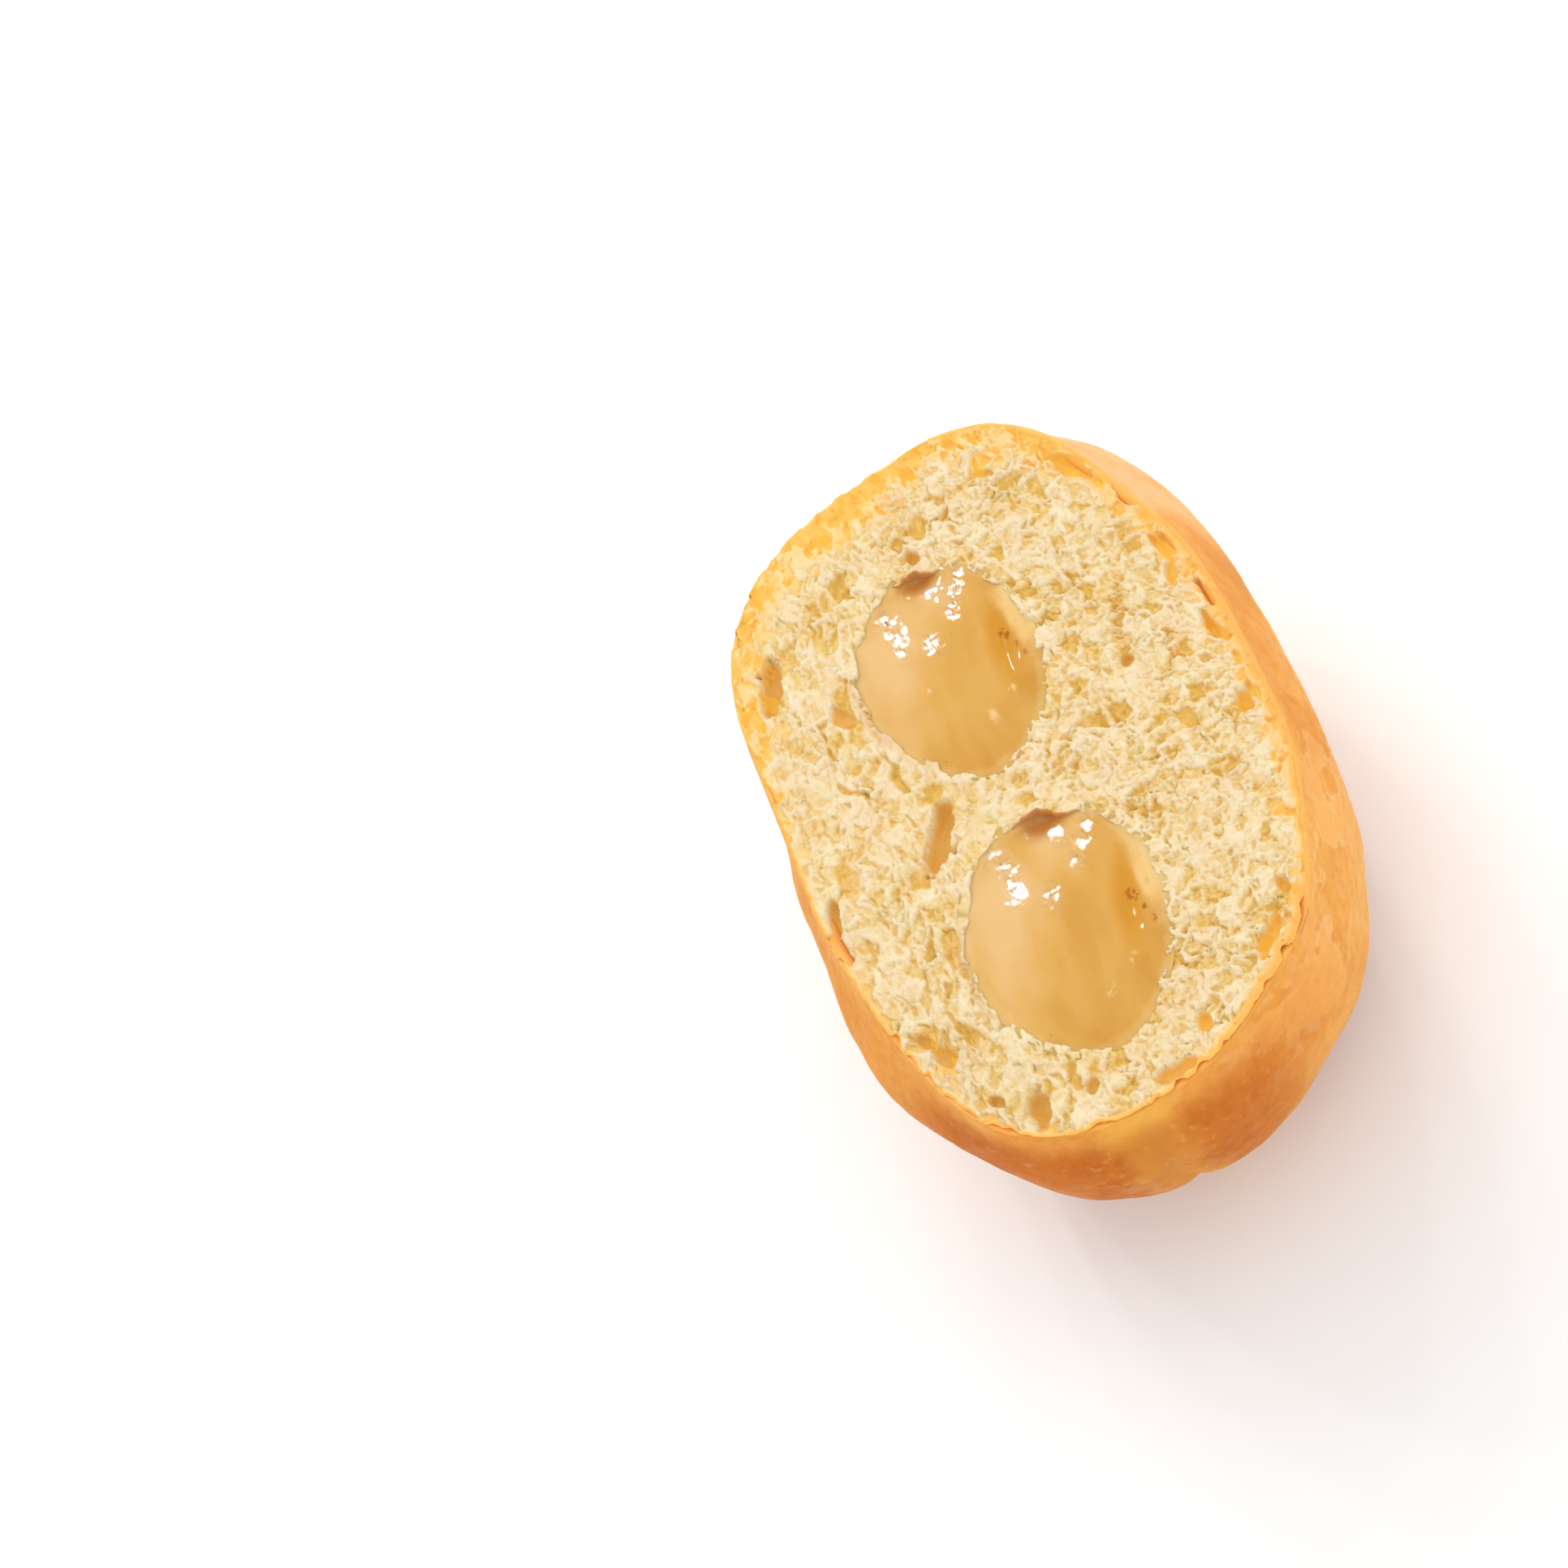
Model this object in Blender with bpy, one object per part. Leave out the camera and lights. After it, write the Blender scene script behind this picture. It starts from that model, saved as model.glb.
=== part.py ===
"""Half of a filled doughnut, cut through its middle and laid on its rounded back.

The cut face looks up. X runs along the doughnut's diameter, Y through its height as it was fried, and Z from
the back to the cut face. The origin is on the small flat spot that the half rests on. Three solids: the dough,
with its crust and crumb in one, and the two pockets of apple filling that the knife opened.
"""

import math

import bmesh
import bpy
from mathutils import Matrix, Vector, noise

MM = 0.001

# Cut face, a superellipse turned a little in its plane
CUT_HALF_LENGTH = 43.4 * MM
CUT_HALF_WIDTH = 28.5 * MM
CUT_SQUARENESS = 2.6
CUT_TURN = 2.1
# What makes the outline uneven: (degrees round from +X, half spread in degrees, height in metres)
CUT_FEATURES = (
    (40, 17, 2.5 * MM),  # full shoulder
    (-12, 12, 1.0 * MM),  # end that bulges to one side
    (-40, 14, -1.5 * MM),  # flat facet beside it
    (-132, 12, -1.4 * MM),  # facet before the pinched corner
    (-158, 15, -3.1 * MM),  # corner that the knife pinched in
    (154, 14, 1.1 * MM),  # low shoulder
    (102, 14, 0.5 * MM),
)

# Crust behind the cut face: it swells past the rim, then closes over the back
HALF_DEPTH = 42.0 * MM
BACK_SQUARENESS = 3.0
REST_CLIP = 0.35 * MM  # taken off the back for the flat spot
BELLY_SWELL = 2.1 * MM
BELLY_REACH = 0.28  # share of the depth over which the swell builds up
SMOOTH_BACK = (0.55, 0.80)  # shares of the way over the back between which the lumps fade out
BELLY_FEATURES = (
    (30, 30, -1.9 * MM),
    (-34, 20, 2.7 * MM),
    (84, 13, 1.7 * MM),
    (123, 22, 3.4 * MM),
    (180, 16, 0.9 * MM),
    (-145, 12, -0.8 * MM),
)

# The pale ring where the two fried sides meet, with its crease
RING_OFFSET = -5.0 * MM  # where the ring's middle plane crosses the middle of the cut face
RING_SLOPE = -0.22
RING_WAVE = (1.2 * MM, 16 * MM)  # height and length of its wander
WAIST = (0.5 * MM, 6.0 * MM)  # depth and half width of the shallow waist
CREASE = (0.7 * MM, 1.3 * MM)

# Unevenness of the fried surface: (size of the lumps, height)
CRUST_LUMPS = ((26 * MM, 1.0 * MM), (9 * MM, 0.3 * MM))

# Crumb on the cut face: bubbles opened by the knife
CRUMB_CELL = 4.2 * MM
CRUMB_PIT_DEPTH = 1.1 * MM
CRUMB_WALL_SHARE = 0.62  # of a cell, from its middle to the wall between two bubbles
CRUMB_ROUGHNESS = 0.35 * MM
CRUMB_ROUGHNESS_SIZE = 2.5 * MM
CRUMB_MARGIN = 0.93  # share of the way to the rim where the crumb meets the crust

# Larger holes in the crumb: (x, y, half length, half width, depth, degrees turned)
LARGE_HOLES = (
    (24.6 * MM, 23.6 * MM, 3.8 * MM, 1.4 * MM, 2.6 * MM, -21),
    (-2.1 * MM, 12.2 * MM, 4.3 * MM, 1.6 * MM, 2.8 * MM, -32),
    (31.8 * MM, -18.6 * MM, 3.2 * MM, 1.1 * MM, 1.8 * MM, 34),
    (-37.4 * MM, 13.8 * MM, 2.2 * MM, 1.4 * MM, 2.2 * MM, 0),
    (-26.6 * MM, 21.2 * MM, 1.7 * MM, 1.1 * MM, 1.8 * MM, 21),
    (-31.6 * MM, -17.0 * MM, 3.3 * MM, 0.9 * MM, 1.8 * MM, -44),
    (16.7 * MM, 16.8 * MM, 1.8 * MM, 1.2 * MM, 1.6 * MM, 38),
    (-5.0 * MM, -25.2 * MM, 1.4 * MM, 1.1 * MM, 1.8 * MM, 0),
)

# Pockets of filling: (node, x, y, half length, half width, degrees turned)
POCKETS = (
    ("filling_upper", 15.6 * MM, 3.4 * MM, 13.5 * MM, 10.2 * MM, 5),
    ("filling_lower", -20.1 * MM, 3.0 * MM, 14.7 * MM, 11.3 * MM, -1),
)
POCKET_DEPTH_RATIO = 1.35  # depth of a pocket over its half width
POCKET_EGG = 0.08  # how much narrower one end of a pocket is
FILLING_GAP = 0.3 * MM

# Relief of the filling's wet top, in shares of the pocket's half length and half width
TOP_LEVEL = -1.6 * MM  # below the cut face
TOP_SLOPE = -1.3 * MM  # deeper towards +X
TOP_CREST = (-0.05, -0.12, 0.62, 1.2 * MM)  # along, across, spread, height
TOP_HOLLOW = (0.90, 0.02, 0.34, -2.8 * MM)
TOP_VALLEY = (0.24, -0.74, 0.27, 0.55, -2.8 * MM)  # along, across, narrow spread, long spread, height
TOP_TURN = 24  # degrees between the pocket's length and the valley

# Mesh density
BLOCK_CELLS = (40, 28, 10)
POCKET_SEGMENTS = (28, 18)
FILLING_SEGMENTS = (34, 22)
EDGE_STEPS = 4  # rounds of the search for the filling's edge
SIDE_SHARE = 0.42  # share of the way from rim to back that the block's sides cover

CRUST_COLOUR = (0.72, 0.33, 0.09, 1.0)
FILLING_COLOUR = (0.78, 0.50, 0.20, 1.0)


def turned_difference(angle, other):
    """Degrees from one direction to another, from -180 to 180."""
    return (angle - other + 180) % 360 - 180


def features_at(angle, features):
    """Sum of the rounded bumps and dents of an outline at an angle in degrees."""
    return sum(
        height * math.exp(-((turned_difference(angle, middle) / spread) ** 2))
        for middle, spread, height in features
    )


def rim_radius(angle):
    """Distance from the middle of the cut face to its rim, at an angle in degrees."""
    turned = math.radians(angle - CUT_TURN)
    along = abs(math.cos(turned)) / CUT_HALF_LENGTH
    across = abs(math.sin(turned)) / CUT_HALF_WIDTH
    base = (along**CUT_SQUARENESS + across**CUT_SQUARENESS) ** (-1 / CUT_SQUARENESS)
    return base + features_at(angle, CUT_FEATURES)


def smooth_step(share):
    share = min(1.0, max(0.0, share))
    return share * share * (3 - 2 * share)


def ring_distance(point):
    """Signed distance in the XY plane from the wandering middle line of the pale ring."""
    height, length = RING_WAVE
    wander = height * noise.noise(Vector((point.x / length, 3.7, point.z / length)))
    offset = point.y - (RING_OFFSET + RING_SLOPE * point.x + wander)
    return offset / math.hypot(1.0, RING_SLOPE)


def crust_point(angle, way):
    """Point on the crust. way runs from 0 at the rim to 1 at the middle of the back."""
    lean = math.radians(90 * way)
    power = BACK_SQUARENESS
    reach = (math.cos(lean) ** power + math.sin(lean) ** power) ** (1 / power)
    closing, depth = max(0.0, math.cos(lean)) / reach, math.sin(lean) / reach
    behind_rim = smooth_step(depth / BELLY_REACH)
    swell = BELLY_SWELL + features_at(angle, BELLY_FEATURES)
    radius = (rim_radius(angle) + swell * behind_rim) * closing
    turn = math.radians(angle)
    z = HALF_DEPTH + REST_CLIP - depth * (HALF_DEPTH + REST_CLIP)
    point = Vector((radius * math.cos(turn), radius * math.sin(turn), z - REST_CLIP * behind_rim))
    lumps = sum(height * noise.noise(point / size) for size, height in CRUST_LUMPS)
    from_ring = ring_distance(point)
    for sunk, half_width in (WAIST, CREASE):
        lumps -= sunk * math.exp(-((from_ring / half_width) ** 2))
    outward = (point - Vector((0, 0, HALF_DEPTH))).normalized()
    fade_start, fade_end = SMOOTH_BACK
    lumps *= behind_rim * (1 - smooth_step((way - fade_start) / (fade_end - fade_start)))
    return point + outward * lumps


def crumb_height(x, y, share):
    """Height of the torn crumb over the cut plane. share is the way from the middle to the rim."""
    spot = Vector((x, y, 0))
    nearest = noise.voronoi(spot / CRUMB_CELL)[0][0]
    pit = -CRUMB_PIT_DEPTH * max(0.0, 1 - (nearest / CRUMB_WALL_SHARE) ** 2)
    tearing = CRUMB_ROUGHNESS * noise.noise(spot / CRUMB_ROUGHNESS_SIZE)
    inside = 1 - smooth_step((share - CRUMB_MARGIN) / (1 - CRUMB_MARGIN))
    return (pit + tearing) * inside


def block_to_dough(corner):
    """Place on the dough for a point of a block that reaches from -1 to 1 each way."""
    x, y, z = corner
    u, v = x * math.sqrt(1 - y * y / 2), y * math.sqrt(1 - x * x / 2)
    share = min(1.0, math.hypot(u, v))
    angle = math.degrees(math.atan2(CUT_HALF_WIDTH * v, CUT_HALF_LENGTH * u))
    if z > 0.9999:
        radius = share * rim_radius(angle)
        turn = math.radians(angle)
        px, py = radius * math.cos(turn), radius * math.sin(turn)
        return Vector((px, py, HALF_DEPTH + crumb_height(px, py, share)))
    if z < -0.9999:
        return crust_point(angle, SIDE_SHARE + (1 - SIDE_SHARE) * (1 - share))
    return crust_point(angle, SIDE_SHARE * (1 - z) / 2)


def subdivided_block(cells):
    """A cube of side 2 about the origin, split into cells along X, Y and Z."""
    bm = bmesh.new()
    bmesh.ops.create_cube(bm, size=2.0)
    for axis, count in enumerate(cells):
        along = [e for e in bm.edges if abs(e.verts[0].co[axis] - e.verts[1].co[axis]) > 0.5]
        bmesh.ops.subdivide_edges(bm, edges=along, cuts=count - 1, use_grid_fill=True)
    return bm


def link(bm, name, collection):
    """Turns a bmesh into a smooth-shaded object in a collection."""
    bmesh.ops.recalc_face_normals(bm, faces=bm.faces)
    mesh = bpy.data.meshes.new(name)
    bm.to_mesh(mesh)
    bm.free()
    mesh.shade_smooth()
    obj = bpy.data.objects.new(name, mesh)
    collection.objects.link(obj)
    return obj


def clip_for_rest(bm):
    """Cuts the back off flat at z = 0 and closes it with one face."""
    everything = list(bm.verts) + list(bm.edges) + list(bm.faces)
    cut = bmesh.ops.bisect_plane(
        bm, geom=everything, dist=1e-6, plane_co=(0, 0, 0), plane_no=(0, 0, -1), clear_outer=True
    )
    loop = [e for e in cut["geom_cut"] if isinstance(e, bmesh.types.BMEdge)]
    bmesh.ops.contextual_create(bm, geom=loop)


def make_dough(collection):
    bm = subdivided_block(BLOCK_CELLS)
    for vert in bm.verts:
        vert.co = block_to_dough(vert.co)
    clip_for_rest(bm)
    return link(bm, "dough", collection)


def pocket_axes(half_length, half_width, shrink=0.0):
    depth = POCKET_DEPTH_RATIO * half_width
    return Vector((half_length - shrink, half_width - shrink, depth - shrink))


def egg(point, half_length):
    """Narrows a pocket towards its -X end."""
    return Vector((point.x, point.y * (1 + POCKET_EGG * point.x / half_length), point.z))


def pocket_place(x, y, turn):
    return Matrix.Translation((x, y, HALF_DEPTH)) @ Matrix.Rotation(math.radians(turn), 4, "Z")


def make_pocket_cutter(pocket, collection):
    node, x, y, half_length, half_width, turn = pocket
    axes = pocket_axes(half_length, half_width)
    bm = bmesh.new()
    segments, rings = POCKET_SEGMENTS
    bmesh.ops.create_uvsphere(bm, u_segments=segments, v_segments=rings, radius=1.0)
    for vert in bm.verts:
        vert.co = egg(Vector(a * b for a, b in zip(vert.co, axes)), half_length)
    cutter = link(bm, f"cut_for_{node}", collection)
    cutter.matrix_world = pocket_place(x, y, turn)
    return cutter


def make_hole_cutter(number, hole, collection):
    x, y, half_length, half_width, depth, turn = hole
    bm = bmesh.new()
    bmesh.ops.create_icosphere(bm, subdivisions=2, radius=1.0)
    bmesh.ops.scale(bm, verts=bm.verts, vec=(half_length, half_width, depth))
    cutter = link(bm, f"cut_for_hole_{number}", collection)
    cutter.matrix_world = pocket_place(x, y, turn)
    return cutter


def filling_top(along, across):
    """Height of the filling's top over the cut plane, at shares of the pocket's half sizes."""
    crest_x, crest_y, crest_spread, crest = TOP_CREST
    hollow_x, hollow_y, hollow_spread, hollow = TOP_HOLLOW
    valley_x, valley_y, narrow, long, valley = TOP_VALLEY
    turn = math.radians(TOP_TURN)
    dx, dy = along - valley_x, across - valley_y
    lengthwise = dx * math.cos(turn) - dy * math.sin(turn)
    sideways = dx * math.sin(turn) + dy * math.cos(turn)
    height = TOP_LEVEL + TOP_SLOPE * along
    height += crest * math.exp(-((along - crest_x) ** 2 + (across - crest_y) ** 2) / crest_spread**2)
    height += hollow * math.exp(-((along - hollow_x) ** 2 + (across - hollow_y) ** 2) / hollow_spread**2)
    height += valley * math.exp(-((lengthwise / long) ** 2) - (sideways / narrow) ** 2)
    return height


def filling_point(direction, axes):
    """Place on the filling for a direction from the middle of the pocket."""
    flat = math.hypot(direction.x, direction.y)
    along, across = (direction.x / flat, direction.y / flat) if flat > 1e-6 else (1.0, 0.0)
    edge = 1.0
    for _ in range(EDGE_STEPS):  # how far out the top meets the pocket's wall
        sunk = -filling_top(along * edge, across * edge) / axes.z
        edge = math.sqrt(1 - sunk * sunk)
    if direction.z >= -1e-4:
        share = edge * math.degrees(math.asin(min(1.0, flat))) / 90
        height = filling_top(along * share, across * share)
        return Vector((along * share * axes.x, across * share * axes.y, height))
    start = math.asin(sunk)
    lean = start + (math.pi / 2 - start) * (1 - math.degrees(math.asin(min(1.0, flat))) / 90)
    share = math.cos(lean)
    return Vector((along * share * axes.x, across * share * axes.y, -axes.z * math.sin(lean)))


def make_filling(pocket, collection):
    node, x, y, half_length, half_width, turn = pocket
    axes = pocket_axes(half_length, half_width, FILLING_GAP)
    bm = bmesh.new()
    segments, rings = FILLING_SEGMENTS
    bmesh.ops.create_uvsphere(bm, u_segments=segments, v_segments=rings, radius=1.0)
    for vert in bm.verts:
        vert.co = egg(filling_point(vert.co, axes), half_length)
    filling = link(bm, node, collection)
    filling.matrix_world = pocket_place(x, y, turn)
    return filling


def cut(obj, cutters):
    """Takes a collection of closed shapes out of an object."""
    boolean = obj.modifiers.new("pockets_and_holes", "BOOLEAN")
    boolean.operation = "DIFFERENCE"
    boolean.operand_type = "COLLECTION"
    boolean.collection = cutters
    boolean.solver = "EXACT"
    for cutter in cutters.objects:
        cutter.hide_render = True
        cutter.display_type = "WIRE"


def material(name, colour, roughness):
    mat = bpy.data.materials.new(name)
    mat.use_nodes = True
    shader = mat.node_tree.nodes["Principled BSDF"]
    shader.inputs["Base Color"].default_value = colour
    shader.inputs["Roughness"].default_value = roughness
    shader.inputs["Metallic"].default_value = 0.0
    return mat


def new_collection(name):
    collection = bpy.data.collections.new(name)
    bpy.context.scene.collection.children.link(collection)
    return collection


def main():
    for obj in list(bpy.data.objects):
        bpy.data.objects.remove(obj)
    parts = new_collection("half_filled_doughnut")
    cutters = new_collection("cutters")
    dough = make_dough(parts)
    dough.data.materials.append(material("crust_and_crumb", CRUST_COLOUR, 0.5))
    gel = material("apple_filling", FILLING_COLOUR, 0.15)
    for pocket in POCKETS:
        make_pocket_cutter(pocket, cutters)
        make_filling(pocket, parts).data.materials.append(gel)
    for number, hole in enumerate(LARGE_HOLES, start=1):
        make_hole_cutter(number, hole, cutters)
    cut(dough, cutters)


main()
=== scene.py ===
"""Looks of the doughnut half: torn crumb, fried crust and wet apple filling, on a pale floor.

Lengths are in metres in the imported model's frame. The cut face looks up, X runs along the doughnut's diameter
and Y through its height as it was fried.
"""

import itertools
import math

import bmesh
import bpy
import numpy as np
from mathutils import Matrix, Vector, noise


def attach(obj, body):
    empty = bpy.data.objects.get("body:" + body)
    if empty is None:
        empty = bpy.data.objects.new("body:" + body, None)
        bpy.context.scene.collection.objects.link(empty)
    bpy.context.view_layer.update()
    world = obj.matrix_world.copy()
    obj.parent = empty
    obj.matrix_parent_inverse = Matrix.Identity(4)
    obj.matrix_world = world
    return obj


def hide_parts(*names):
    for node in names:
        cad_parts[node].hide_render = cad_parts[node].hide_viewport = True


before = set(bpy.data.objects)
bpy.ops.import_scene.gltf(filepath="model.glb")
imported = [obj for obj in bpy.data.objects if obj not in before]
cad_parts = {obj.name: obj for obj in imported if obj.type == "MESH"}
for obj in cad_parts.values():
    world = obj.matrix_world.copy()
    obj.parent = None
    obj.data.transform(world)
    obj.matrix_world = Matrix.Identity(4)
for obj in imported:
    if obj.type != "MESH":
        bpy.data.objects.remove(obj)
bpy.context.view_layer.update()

MM = 0.001
SEED = 11

# The half's form, from the same driving sizes as the solids
CUT_HALF_LENGTH = 43.4 * MM
CUT_HALF_WIDTH = 28.5 * MM
CUT_SQUARENESS = 2.6
CUT_TURN = 2.1
CUT_FEATURES = (  # degrees round from +X, half spread in degrees, height
    (40, 17, 2.5 * MM),
    (-12, 12, 1.0 * MM),
    (-40, 14, -1.5 * MM),
    (-132, 12, -1.4 * MM),
    (-158, 15, -3.1 * MM),
    (154, 14, 1.1 * MM),
    (102, 14, 0.5 * MM),
)
HALF_DEPTH = 42.0 * MM
BACK_SQUARENESS = 3.0
REST_CLIP = 0.35 * MM
BELLY_SWELL = 2.1 * MM
BELLY_REACH = 0.28
SMOOTH_BACK = (0.55, 0.80)
BELLY_FEATURES = (
    (30, 30, -1.9 * MM),
    (-34, 20, 2.7 * MM),
    (84, 13, 1.7 * MM),
    (123, 22, 3.4 * MM),
    (180, 16, 0.9 * MM),
    (-145, 12, -0.8 * MM),
)
RING_OFFSET = -5.0 * MM
RING_SLOPE = -0.22
RING_WAVE = (1.2 * MM, 16 * MM, 3.7)  # height, length, place in the noise
WAIST = (0.5 * MM, 6.0 * MM)
CREASE = (0.7 * MM, 1.3 * MM)
CRUST_LUMPS = ((26 * MM, 1.0 * MM), (9 * MM, 0.3 * MM))

# Pockets: node, x, y, half length, half width, degrees turned
POCKETS = (
    ("filling_upper", 15.6 * MM, 3.4 * MM, 13.5 * MM, 10.2 * MM, 5),
    ("filling_lower", -20.1 * MM, 3.0 * MM, 14.7 * MM, 11.3 * MM, -1),
)
POCKET_DEPTH_RATIO = 1.35
POCKET_EGG = 0.08

# Crust as a shell
CRUST_THICKNESS = 1.5 * MM
CRUST_SEGMENTS = 640
CRUST_WAYS = ((0.018, 72), (0.40, 34))  # where rings start, from rim to back, and their number
CRUST_INNER_WAYS = (0.93, 0.10, 8)  # first and last ring inside, and their number
LIP = (  # distance in from the rim, height over the cut, in millimetres
    (1.90, -2.60),
    (1.70, -1.30),
    (1.40, -0.60),
    (1.00, -0.28),
    (0.65, -0.14),
    (0.38, -0.07),
    (0.18, -0.06),
    (0.05, -0.14),
    (0.00, -0.34),
)
LIP_RAGGED = (0.9 * MM, 0.10 * MM)
LIP_COVERED = ((180, 46, 1.0), (16, 44, 0.9), (100, 40, 0.6))  # middle, spread, share of the edge covered
LIP_SUNK = 0.42 * MM  # how far the edge lies lower there
COVERED_EDGE = (1.3, 0.15, 0.45, 0.07)  # gain, what is taken off, raggedness and its size
LIP_BLEND = 3  # outermost rings of the edge in which the section's colour fades
SKIN_FADE = 0.08  # share of the way to the back in which the skin's bumps rise
SKIN_BUMPS = ((3.2 * MM, 0.10 * MM), (1.2 * MM, 0.04 * MM))
CRACK = (0.22 * MM, 0.5 * MM, 0.6 * MM)  # depth, half width, wander of the torn line inside the crease
CRACK_NOISE = (3.1 * MM, 7 * MM, 0.45, 0.9)  # sizes of wander and strength, mean strength, change
HIGHLIGHT_SPAN = (12 * MM, 27 * MM)  # painted highlight, paler crust on the side facing the key light: from this x to that
HIGHLIGHT_LEVEL = (22 * MM, 14 * MM)  # from which height, over how much more
BACK_BROWN = (20, 25 * MM, 32 * MM, 14 * MM)  # browned back: direction, how far, below what, over what
UNDER_BROWN = (14 * MM, 10 * MM)  # browned underside: below what, over what
OFF_RING = (5 * MM, 8 * MM, 0.8)  # both: how far from the pale ring, over what, and how brown
CUT_WANDER = (14 * MM, 0.3 * MM)  # size and height of the knife's unevenness
PEELED = (-132, 36, -8 * MM, 8 * MM)  # torn skin: middle and spread in degrees, height and its spread
TOASTED_AND_SHADE = (159, 25 * MM, 43 * MM, 7 * MM)  # darker crust, browning with painted shade on the side away from the key light: direction, from where to where, how deep

# Crumb
CRUMB_CELLS = (470, 310)
CRUMB_FROM_RIM = 0.14 * MM
CRUMB_RAGGED = (1.5 * MM, 0.9 * MM, 0.2)  # ragged outline: size, how far it falls short, mean share of that
UNCOVERED_RAGGED = 0.4  # share of that where the crumb doesn't cover the crust's edge
CRUMB_EDGE = (0.45 * MM, 0.30 * MM)  # strip that dips under the crust's edge: width, how far
CRUMB_SKIRT = ((0.96, 3 * MM), (0.90, 9 * MM), (0.72, 19 * MM))  # share of the outline, depth below the cut
CRUMB_BOTTOM = 3 * MM  # how far the lowest point lies under that
TORN_WARP = ((1.7 * MM, 0.42 * MM), (0.7 * MM, 0.20 * MM))
TORN_CELLS = (  # size, depth, wall width, width of the slope, share of open cells
    (2.5 * MM, 0.46 * MM, 0.30 * MM, 0.34 * MM, 0.40),
    (1.35 * MM, 0.38 * MM, 0.16 * MM, 0.20 * MM, 0.66),
    (0.80 * MM, 0.22 * MM, 0.08 * MM, 0.14 * MM, 0.60),
)
CELL_SPREAD = 0.85  # how far a cell's middle strays, as a share of its size
WALL_SHUFFLE = 7.31  # for a wall's random value, from those of its two cells
DEPTH_SHUFFLE = 13.7  # makes a second random value for a cell
WALL_WIDTHS = (0.4, 1.3)  # least width of a wall and what chance adds, in shares
CELL_OPENING = (0.25, 0.35)  # how gradually cells go from closed to open
CELL_DEPTHS = (0.35, 0.65)  # least depth of an open cell and what chance adds, in shares
BROKEN_WALLS = (0.30, 0.45)  # share of torn walls, how far they are sunk in depths of the cell
UNEVEN = (1.9 * MM, 0.16 * MM)
FLUFF = ((1.1 * MM, 0.13 * MM), (0.5 * MM, 0.06 * MM))
FLUFF_MEAN = 0.3  # taken off, so that the mean height stays
CELL_TINTS = (0.80, 0.52, 0.40)  # how much each size of cell darkens the crumb, as painted shade in its depth
STRANDS = ((2.0 * MM, 0.13 * MM, 0.38), (1.2 * MM, 0.11 * MM, 0.50))  # size, height, half width in noise
STRAND_MEAN = 0.4  # taken off in the same way
STRAND_BREAKS = (0.7, 1.2, 1.3)  # mean wholeness, how much it changes, over how many sizes
STRAND_TINT = (0.26, 0.66)  # how much paler strands are than the rest, as painted light on them, and their mean
LONG_CELLS = (1.7, 2 * MM, 9 * MM)  # how much longer the cells are on the +Y side, from which y, over what
GOLD_WIDTH = (1.2 * MM, 3.6 * MM, 18, 42)  # least width, extra width, middle and spread in degrees
GOLD_RAGGED = (2.4 * MM, 0.5)  # size of its unevenness, and how much its width changes
GOLD_SOFTNESS = 4.2 * MM
GOLD_MIDDLE = 0.5  # how golden the crumb is at the layer's inner end
GOLD_BY_DEPTH = (1.7 / MM, 0.25 * MM)  # deeper crumb is more golden: how much, and from which depth
GOLD_END = (2.2, 3.5 * MM)  # where all gold ends: this many widths, and this added
GOLD_LEAST = (0.4, 0.65)  # least gold of high crumb in the layer, and how far it reaches in
PALE_EDGE = 0.6  # how much less golden the crumb is where it covers the crust's edge
PEACH = ((-88, 46), (-152, 24))  # where crumb near the rim is more orange, its spread, in degrees
PEACH_REACH = (5 * MM, 3 * MM)  # how far in that goes, and over what it fades
RIM_STRIP = (0.8 * MM, 1.4 * MM)  # golden strip along the rim: width, more where it is orange
RIM_PEACH = 0.75  # least orange of that strip outside the golden layer
RIM_FLAT = 0.5  # how much flatter the crumb is in that strip
GOLD_FLAT = 0.25  # and in the golden layer
OPENNESS = (9 * MM, 0.25)  # size of more and less open parts, how much they differ

# Larger holes, in millimetres: x, y, half length, half width, depth, and degrees turned
LARGE_HOLES = (
    (24.6, 23.6, 3.8, 1.4, 2.6, -21),
    (-2.1, 12.2, 4.3, 1.6, 2.8, -32),
    (31.8, -18.6, 3.2, 1.1, 1.8, 34),
    (-37.4, 13.8, 2.2, 1.4, 2.2, 0),
    (-26.6, 21.2, 1.7, 1.1, 1.8, 21),
    (-31.6, -17.0, 3.3, 0.9, 1.8, -44),
    (16.7, 16.8, 1.8, 1.2, 1.6, 38),
    (-5.0, -25.2, 1.4, 1.1, 1.8, 0),
    (-4.8, 26.6, 2.4, 0.8, 1.8, -14),
    (-8.9, 27.4, 1.9, 0.7, 1.4, 13),
    (24.8, -23.0, 1.9, 0.9, 1.5, 26),
    (17.4, -24.8, 1.9, 0.7, 1.4, 11),
    (13.5, -23.8, 1.7, 0.6, 1.2, -20),
    (4.5, -25.8, 2.2, 0.7, 1.3, 25),
    (-34.1, 18.0, 1.1, 0.8, 1.5, 66),
    (-23.6, 22.8, 1.4, 0.8, 1.5, 35),
    (-37.4, -6.7, 1.3, 0.9, 1.5, 7),
    (-37.8, 7.5, 1.0, 0.8, 1.4, 0),
    (-26.9, -20.6, 1.3, 0.7, 1.4, 10),
    (-41.0, -1.7, 0.8, 2.8, 1.4, 0),
    (6.5, -15.1, 0.9, 0.8, 1.5, 0),
    (31.3, 2.4, 1.3, 0.8, 1.6, 22),
    (36.8, -9.1, 1.5, 0.7, 1.2, 62),
)
HOLES_RAGGED = ((1.6 * MM, 0.45), (0.7 * MM, 0.25))
HOLE_FLOOR = (3, 0.25)  # power of the floor's curve, share of the crumb's relief
HOLE_FADE = 2.5  # how fast the hole's colour rises from its edge

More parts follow.
